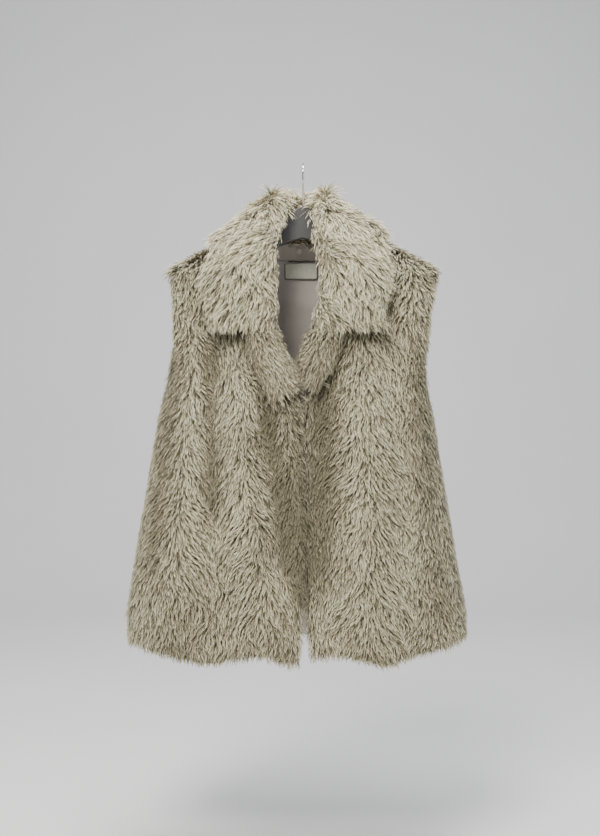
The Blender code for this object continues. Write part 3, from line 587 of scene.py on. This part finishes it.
def ribbon_mesh(name, points, tone, levels):
    """Mesh of ribbons, each pair of points a level and then a tip, with a map of tone and height."""
    total = len(tone)
    pairs = len(levels)
    around = []
    for level in range(pairs - 1):
        first = 2 * level
        around += [first, first + 1, first + 3, first + 2]
    around += [2 * pairs - 2, 2 * pairs - 1, 2 * pairs]
    around = np.array(around)
    sizes = np.array([4] * (pairs - 1) + [3])
    corners = len(around)
    loops = (np.arange(total)[:, None] * (2 * pairs + 1) + around[None, :]).reshape(-1)
    starts = (np.arange(total)[:, None] * corners + 4 * np.arange(pairs)[None, :]).reshape(-1)

    mesh = bpy.data.meshes.new(name)
    mesh.vertices.add(total * (2 * pairs + 1))
    mesh.vertices.foreach_set("co", points.astype(np.float32).reshape(-1))
    mesh.loops.add(total * corners)
    mesh.loops.foreach_set("vertex_index", loops.astype(np.int32))
    mesh.polygons.add(total * pairs)
    mesh.polygons.foreach_set("loop_start", starts.astype(np.int32))
    mesh.polygons.foreach_set("loop_total", np.tile(sizes, total).astype(np.int32))
    mesh.update(calc_edges=True)

    heights = np.array([level for level in levels for edge in range(2)] + [1.0])
    offsets = np.array([-1, 1] * pairs + [0]) * 0.012
    uv = np.stack([tone[:, None] + offsets[None, :], np.tile(heights, (total, 1))], axis=2)
    uv = np.clip(uv, 0.001, 0.999)[:, around].reshape(-1)
    layer = mesh.uv_layers.new(name="OFBake")
    layer.data.foreach_set("uv", uv.astype(np.float32))
    mesh.shade_smooth()
    return link(name, mesh)


def link(name, mesh):
    """Object in the scene that rides on the vest."""
    thing = bpy.data.objects.new(name, mesh)
    bpy.context.scene.collection.objects.link(thing)
    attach(thing, "root")
    return thing


# Cloth under the fur, and the lining

def crease(points, size, seed):
    """Soft creases that run mostly down, from 0 to 1."""
    squeezed = points * np.array([1.0, 1.0, 0.28])
    value = 0.6 * wander(squeezed, size, seed) + 0.4 * wander(squeezed, size * 0.45, seed + 1)
    return np.clip(0.5 + 0.45 * value, 0, 1)


def make_mesh(name, points, triangles):
    """Smooth mesh object."""
    mesh = bpy.data.meshes.new(name)
    mesh.from_pydata([tuple(p) for p in points], [], triangles.tolist())
    mesh.shade_smooth()
    return link(name, mesh)


def refine(thing, levels=1):
    """Subdivide and keep the result."""
    modifier = thing.modifiers.new("refine", "SUBSURF")
    modifier.levels = levels
    modifier.render_levels = levels
    bpy.context.view_layer.update()
    ready = thing.evaluated_get(bpy.context.evaluated_depsgraph_get())
    mesh = bpy.data.meshes.new_from_object(ready)
    thing.modifiers.clear()
    thing.data = mesh
    thing.data.shade_smooth()


def build_cloth(row, points, triangles, share):
    """Thin cloth on the inner side of a panel's solid, its creases pressed into the pile."""
    inner = triangles[share == 0.0]
    tree = search_tree(points, inner)
    normals = point_normals(points, inner)
    pressed = PRESS * crease(points, 0.05, 51) * (np.abs(points[:, 1]) > SEAM_BAND)
    fresh = points.copy()
    for i, point in enumerate(points):
        near, normal = tree.find_nearest(Vector(point))[:2]
        near = np.array(near)
        away = np.array(normal) * -1
        if np.linalg.norm(normals[i]) > 0.5:
            away = -normals[i]
        fresh[i] = near + (point - near) * THIN + away * pressed[i]
    cloth = make_mesh(row["node"] + "_cloth", fresh, triangles)
    if row["flow"] == "body":
        keep_seams_sharp(cloth.data, points)
    refine(cloth)
    cloth.data.materials.append(UNDER_CLOTH)
    cloth.data.materials.append(LINING_CLOTH)
    if row["flow"] == "body":
        paint_inside(cloth, tree)
    return cloth


def keep_seams_sharp(mesh, points):
    """Hold the panel's rims at the seams, so that refining doesn't draw them apart."""
    near = np.abs(points[:, 1]) < SEAM_BAND
    ends = np.zeros(len(mesh.edges) * 2, int)
    mesh.edges.foreach_get("vertices", ends)
    sharp = near[ends.reshape(-1, 2)].all(axis=1)
    crease_values = mesh.attributes.new("crease_edge", "FLOAT", "EDGE")
    crease_values.data.foreach_set("value", sharp.astype(np.float32))


def paint_inside(cloth, tree):
    """Lining on the faces that look into the vest."""
    for face in cloth.data.polygons:
        normal = tree.find_nearest(face.center)[1]
        if face.normal.dot(normal) > 0.6:
            face.material_index = 1


# Materials

def new_material(name, roughness, metallic=0.0, sheen=0.0):
    """Principled material and its nodes."""
    material = bpy.data.materials.new(name)
    material.use_nodes = True
    shader = material.node_tree.nodes["Principled BSDF"]
    shader.inputs["Roughness"].default_value = roughness
    shader.inputs["Metallic"].default_value = metallic
    shader.inputs["Sheen Weight"].default_value = sheen
    return material, material.node_tree.nodes, material.node_tree.links, shader


def ramp(nodes, stops):
    """Colour ramp from a list of places and colours."""
    node = nodes.new("ShaderNodeValToRGB")
    elements = node.color_ramp.elements
    while len(elements) < len(stops):
        elements.new(0.5)
    for element, (place, colour) in zip(elements, stops):
        element.position = place
        element.color = (*colour, 1)
    return node


def scaled(colour, share):
    """Colour made darker or paler."""
    return tuple(min(value * share, 1.0) for value in colour)


def make_fur():
    """Colour from the strand's own map: tone across, which carries the painted shade and light, root to tip
    up.
    """
    material, nodes, links, shader = new_material("fur", 0.78, sheen=0.25)
    place = nodes.new("ShaderNodeUVMap")
    place.uv_map = "OFBake"
    parts = nodes.new("ShaderNodeSeparateXYZ")
    links.new(place.outputs["UV"], parts.inputs["Vector"])
    along = ramp(nodes, [(0.0, FUR_ROOT), (0.35, scaled(FUR_MIDDLE, 0.65)), (0.62, FUR_MIDDLE),
                         (1.0, FUR_TIP)])
    links.new(parts.outputs["Y"], along.inputs["Fac"])
    shade = ramp(nodes, [(0.0, (0.25, 0.24, 0.19)), (0.35, (0.66, 0.65, 0.60)), (0.70, (0.98, 0.98, 0.96)),
                         (1.0, (1.0, 1.0, 1.0))])
    links.new(parts.outputs["X"], shade.inputs["Fac"])
    mix = nodes.new("ShaderNodeMix")
    mix.data_type = "RGBA"
    mix.blend_type = "MULTIPLY"
    mix.inputs["Factor"].default_value = 1.0
    links.new(along.outputs["Color"], mix.inputs["A"])
    links.new(shade.outputs["Color"], mix.inputs["B"])
    links.new(mix.outputs["Result"], shader.inputs["Base Color"])
    return material


def noisy(name, colour, contrast, size, roughness, bump, bump_size, metallic=0.0, sheen=0.0):
    """Material with mottled colour and a fine relief."""
    material, nodes, links, shader = new_material(name, roughness, metallic, sheen)
    place = nodes.new("ShaderNodeTexCoord")
    mottle = nodes.new("ShaderNodeTexNoise")
    mottle.inputs["Scale"].default_value = 1 / size
    mottle.inputs["Detail"].default_value = 4
    links.new(place.outputs["Object"], mottle.inputs["Vector"])
    tint = ramp(nodes, [(0.3, scaled(colour, 1 - contrast)), (0.7, scaled(colour, 1 + contrast))])
    links.new(mottle.outputs["Fac"], tint.inputs["Fac"])
    links.new(tint.outputs["Color"], shader.inputs["Base Color"])
    grain = nodes.new("ShaderNodeTexNoise")
    grain.inputs["Scale"].default_value = 1 / bump_size
    grain.inputs["Detail"].default_value = 3
    links.new(place.outputs["Object"], grain.inputs["Vector"])
    relief = nodes.new("ShaderNodeBump")
    relief.inputs["Strength"].default_value = 0.5
    relief.inputs["Distance"].default_value = bump
    links.new(grain.outputs["Fac"], relief.inputs["Height"])
    links.new(relief.outputs["Normal"], shader.inputs["Normal"])
    return material


FUR_HAIR = make_fur()
UNDER_CLOTH = noisy("under_fur", UNDER_FUR, 0.3, 0.008, 0.95, 0.0015, 0.002, sheen=0.2)
LINING_CLOTH = noisy("satin_lining", LINING, 0.08, 0.04, 0.38, 0.0002, 0.0008, sheen=0.3)
FACING_CLOTH = noisy("facing_cloth", FACING, 0.10, 0.02, 0.60, 0.0003, 0.0010, sheen=0.2)
LABEL_CLOTH = noisy("woven_label", LABEL, 0.08, 0.006, 0.65, 0.0003, 0.0009)
HANGER_PLASTIC = noisy("hanger_plastic", PLASTIC, 0.05, 0.05, 0.42, 0.0001, 0.0012)
HOOK_STEEL = noisy("polished_steel", STEEL, 0.05, 0.03, 0.14, 0.00003, 0.002, metallic=1.0)
STUD_METAL = noisy("worn_metal", (0.62, 0.57, 0.50), 0.10, 0.003, 0.35, 0.0001, 0.001, metallic=0.5)
THREAD_COTTON = noisy("cotton_thread", THREAD, 0.2, 0.002, 0.8, 0.0001, 0.0005)
# dark edging: painted shadow under the facing's lower edge, and partly painted shadow along the label's
# edges
EDGE_AND_SHADOW_CLOTH = noisy("rolled_edge_and_shadow", (0.055, 0.045, 0.036), 0.2, 0.006, 0.7, 0.0002, 0.0008)


# The panels

def coat_places(row, points, triangles, weights, count, trees, random):
    """Even places for the hair of one coat, with their normals, flows and tone."""
    places, normals = scatter(points, triangles, weights, int(count * SPARE), random)
    if row["flow"] == "body":
        free = ~covered(places, normals, [trees[n] for n in ("collar", "lapel_left", "lapel_right")])
        places, normals = places[free], normals[free]
    room = (np.linalg.norm(face_normals(points, triangles), axis=1) * weights).sum() / 2
    first = spaced(places, EVEN * (room / count) ** 0.5)
    first = random.permutation(first)[:count]
    others = np.setdiff1d(np.arange(len(places)), first)
    more = random.permutation(others)[:max(count - len(first), 0)]
    keep = np.sort(np.concatenate([first, more]))
    places, normals = places[keep], normals[keep]
    return places, normals, FLOWS[row["flow"]](places, normals), base_tone(row, places, trees)


def build_panel(row, solids, trees):
    """Cloth, undercoat and fur of one panel."""
    node = row["node"]
    points, triangles = solids[node]
    near = list(trees.values()) if row["flow"] != "body" else []
    share = outside_share(points, triangles, row["flow"], near)
    random = np.random.default_rng(SEED + len(node) * 7 + ord(node[-1]))
    weights = np.where(share == 1.0, 1.0, np.where(share == 0.5, RIM_HAIR, 0.0))
    long_places = coat_places(row, points, triangles, weights, row["hairs"], trees, random)
    fur = grow(row, *long_places, random)
    short_places = coat_places(row, points, triangles, weights, row["under"], trees, random)
    under = grow_under(row, *short_places, random)
    cloth = build_cloth(row, points, triangles, share)
    fur.data.materials.append(FUR_HAIR)
    under.data.materials.append(FUR_HAIR)
    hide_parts(node)


SOLIDS = {name: solid(name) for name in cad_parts}
TREES = {name: search_tree(*SOLIDS[name]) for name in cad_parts}
for fur_row in FUR:
    build_panel(fur_row, SOLIDS, TREES)


def build_layer(node, material, size, depth):
    """A thin layer inside the back: its solid, finer and softly creased away from what lies on it."""
    points, triangles = SOLIDS[node]
    layer = make_mesh(node + "_cloth", points, triangles)
    refine(layer, 2)
    layer.data.materials.append(material)
    count = len(layer.data.vertices)
    place = np.zeros(count * 3)
    layer.data.vertices.foreach_get("co", place)
    place = place.reshape(-1, 3)
    low = np.clip((LINING_FREE_Z - place[:, 2]) / LINING_FREE_DROP, 0, 1)
    place[:, 1] -= depth * crease(place, size, 61) * low
    layer.data.vertices.foreach_set("co", place.reshape(-1))
    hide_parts(node)


build_layer("back_lining", LINING_CLOTH, 0.035, 0.006)
build_layer("neck_facing", FACING_CLOTH, 0.02, 0.0)
build_layer("label", LABEL_CLOTH, 0.01, 0.0)

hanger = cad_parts["hanger_body"].data
hanger.materials.clear()
hanger.materials.append(HANGER_PLASTIC)


# Stitches, edging, stud and hook

def seat(tree, x, z):
    """Place and normal on a layer inside the back, seen from the front."""
    place, normal = tree.ray_cast(Vector((x, INSIDE_Y, z)), Vector((0, 1, 0)))[:2]
    return place, normal


def tube(bm, path, radius, sides, closed=False):
    """Round tube along a path, its ends closed unless it is a loop."""
    rings = []
    count = len(path)
    for i, point in enumerate(path):
        before = path[(i - 1) % count] if closed or i else path[0]
        after = path[(i + 1) % count] if closed or i < count - 1 else path[-1]
        along = (after - before).normalized()
        side = along.cross(Vector((0.31, 0.9, 0.17))).normalized()
        up = side.cross(along)
        ring = []
        for k in range(sides):
            angle = 2 * pi * k / sides
            ring.append(bm.verts.new(point + (side * np.cos(angle) + up * np.sin(angle)) * radius))
        rings.append(ring)
    for i in range(count if closed else count - 1):
        first, second = rings[i], rings[(i + 1) % count]
        for k in range(sides):
            m = (k + 1) % sides
            bm.faces.new((first[k], first[m], second[m], second[k]))
    if not closed:
        bm.faces.new(rings[0][::-1])
        bm.faces.new(rings[-1])


def finish_mesh(name, bm, material):
    """Piece from a bmesh."""
    mesh = bpy.data.meshes.new(name)
    bmesh.ops.recalc_face_normals(bm, faces=bm.faces)
    bm.to_mesh(mesh)
    bm.free()
    mesh.shade_smooth()
    mesh.materials.append(material)
    thing = link(name, mesh)
    return thing


def build_stitches():
    """Stitches round the label's sides and lower edge."""
    low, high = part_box("label")
    inset = 0.0016
    left, right = low.x + inset, high.x - inset
    bottom, top = low.z + inset, high.z - inset
    corners = [(left, top), (left, bottom), (right, bottom), (right, top)]
    bm = bmesh.new()
    for (x0, z0), (x1, z1) in zip(corners, corners[1:]):
        length = abs(x1 - x0) + abs(z1 - z0)
        count = round(length / STITCH_PITCH)
        for i in range(count):
            path = []
            for share in STITCH_SHARES:
                t = (i + share) / count
                place, normal = seat(TREES["label"], x0 + (x1 - x0) * t, z0 + (z1 - z0) * t)
                rise = STITCH_RISE if share == STITCH_SHARES[1] else 0.0
                path.append(place + normal * rise)
            tube(bm, path, STITCH_RADIUS, 6)
    finish_mesh("label_stitches", bm, THREAD_COTTON)


def build_label_edge():
    """Dark rolled edge round the label's sides and foot: partly its own edge, partly painted shadow where it
    curls.
    """
    low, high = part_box("label")
    inset = 0.0005
    left, right, foot = low.x + inset, high.x - inset, low.z + inset
    corners = [(left, high.z - inset), (left, foot), (right, foot), (right, high.z - inset)]
    bm = bmesh.new()
    path = []
    steps = 12
    for (x0, z0), (x1, z1) in zip(corners, corners[1:]):
        for i in range(steps):
            t = (i + 0.5) / steps
            place = seat(TREES["label"], x0 + (x1 - x0) * t, z0 + (z1 - z0) * t)[0]
            if place is not None:
                path.append(place)
    tube(bm, path, EDGE_RADIUS, 8)
    finish_mesh("label_edge", bm, EDGE_AND_SHADOW_CLOTH)


def build_facing_edge():
    """Rolled lower edge of the facing, a little wavy, its dark colour a painted shadow where the facing
    folds over the lining.
    """
    low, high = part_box("neck_facing")
    bm = bmesh.new()
    path = []
    steps = 60
    for i in range(steps + 1):
        x = low.x + 0.002 + (high.x - low.x - 0.004) * i / steps
        z = low.z + 0.0022 + 0.0004 * np.sin(x * 310) + 0.0003 * np.sin(x * 741)
        place = seat(TREES["neck_facing"], x, z)[0]
        if place is not None:
            path.append(place + Vector((0, -0.0004, 0)))
    tube(bm, path, FACING_EDGE_RADIUS, 8)
    finish_mesh("facing_edge", bm, EDGE_AND_SHADOW_CLOTH)


def build_snap():
    """Snap stud: a domed cap, a groove and an outer ring, turned round the stud's axis."""
    low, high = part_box("neck_stud")
    middle = (low + high) / 2
    place, normal = seat(TREES["neck_facing"], middle.x, middle.z)
    radius = (high.x - low.x) / 2
    profile = [(0.0, 0.0016), (0.22, 0.0015), (0.38, 0.0011), (0.46, 0.0005), (0.58, 0.0004), (0.66, 0.0012),
               (0.78, 0.0018), (0.90, 0.0017), (0.98, 0.0010), (1.0, 0.0004)]
    turn = normal.to_track_quat("Z", "Y")
    bm = bmesh.new()
    rings = []
    sides = 40
    for share, height in profile[1:]:
        ring = []
        for k in range(sides):
            angle = 2 * pi * k / sides
            spot = Vector((radius * share * np.cos(angle), radius * share * np.sin(angle), height))
            ring.append(bm.verts.new(place + turn @ spot))
        rings.append(ring)
    top = bm.verts.new(place + turn @ Vector((0, 0, profile[0][1])))
    base = bm.verts.new(place + turn @ Vector((0, 0, profile[-1][1])))
    for k in range(sides):
        m = (k + 1) % sides
        bm.faces.new((top, rings[0][k], rings[0][m]))
        bm.faces.new((base, rings[-1][m], rings[-1][k]))
        for inner, outer in zip(rings, rings[1:]):
            bm.faces.new((inner[k], outer[k], outer[m], inner[m]))
    stud = finish_mesh("snap_stud", bm, STUD_METAL)
    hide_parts("neck_stud")


def build_hook_wire():
    """Smooth wire hook on the path of its solid, with a rounded end."""
    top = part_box("hanger_body")[1].z
    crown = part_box("hanger_hook")[1].z - WIRE / 2
    radius = CROWN_RADIUS + WIRE / 2
    centre_z = crown - radius
    path = [Vector((0, 0, top + SHANK_FOOT))]
    path += [Vector((0, y, z)) for y, z in SHANK_BENDS]
    for degrees in CROWN_DEGREES:
        angle = radians(degrees)
        path.append(Vector((0, radius * np.cos(angle), centre_z + radius * np.sin(angle))))
    bm = bmesh.new()
    tube(bm, path, WIRE / 2, WIRE_SIDES)
    ball = bmesh.ops.create_uvsphere(bm, u_segments=WIRE_SIDES, v_segments=WIRE_SIDES // 2, radius=WIRE / 2)
    for vert in ball["verts"]:
        vert.co += path[-1]
    hook = finish_mesh("hook_wire", bm, HOOK_STEEL)
    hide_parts("hanger_hook")


build_stitches()
build_label_edge()
build_facing_edge()
build_snap()
build_hook_wire()


# Stage, light and camera

def build_stage():
    """Pale floor that curves up into a backdrop."""
    floor_z = cad_low.z - FLOOR_DROP
    bend_y = STAGE_BACK_Y - STAGE_BEND
    profile = [(STAGE_FRONT_Y, floor_z), (bend_y, floor_z)]
    for step in range(1, STAGE_STEPS + 1):
        angle = step / STAGE_STEPS * pi / 2
        profile.append((bend_y + STAGE_BEND * np.sin(angle), floor_z + STAGE_BEND * (1 - np.cos(angle))))
    profile.append((STAGE_BACK_Y, STAGE_TOP_Z))
    mesh = bpy.data.meshes.new("stage")
    points = [(x, y, z) for y, z in profile for x in (-STAGE_HALF, STAGE_HALF)]
    faces = [(2 * i, 2 * i + 1, 2 * i + 3, 2 * i + 2) for i in range(len(profile) - 1)]
    mesh.from_pydata(points, [], faces)
    mesh.shade_smooth()
    stage = bpy.data.objects.new("stage", mesh)
    bpy.context.scene.collection.objects.link(stage)
    mesh.materials.append(noisy("pale_paper", WALL, 0.02, 0.5, 0.9, 0.0002, 0.004))


def add_light(name, place, aim, size, power, colour):
    """Soft area light that looks at a point."""
    data = bpy.data.lights.new(name, "AREA")
    data.shape = "DISK"
    data.size = size
    data.energy = power
    data.color = colour
    lamp = bpy.data.objects.new(name, data)
    lamp.location = place
    lamp.rotation_euler = (Vector(aim) - Vector(place)).to_track_quat("-Z", "Y").to_euler()
    bpy.context.scene.collection.objects.link(lamp)


def build_camera():
    """Level camera with the lens assumed for the photograph."""
    data = bpy.data.cameras.new("camera")
    data.lens = LENS
    data.sensor_width = SENSOR
    camera = bpy.data.objects.new("camera", data)
    camera.location = CAMERA
    camera.rotation_euler = (radians(90), 0, 0)
    bpy.context.scene.collection.objects.link(camera)
    bpy.context.scene.camera = camera


build_stage()
build_camera()
for light_row in LIGHTS:
    add_light(**light_row)
world = bpy.data.worlds.new("soft")
bpy.context.scene.world = world
world.use_nodes = True
world.node_tree.nodes["Background"].inputs["Color"].default_value = SKY
world.node_tree.nodes["Background"].inputs["Strength"].default_value = SKY_STRENGTH
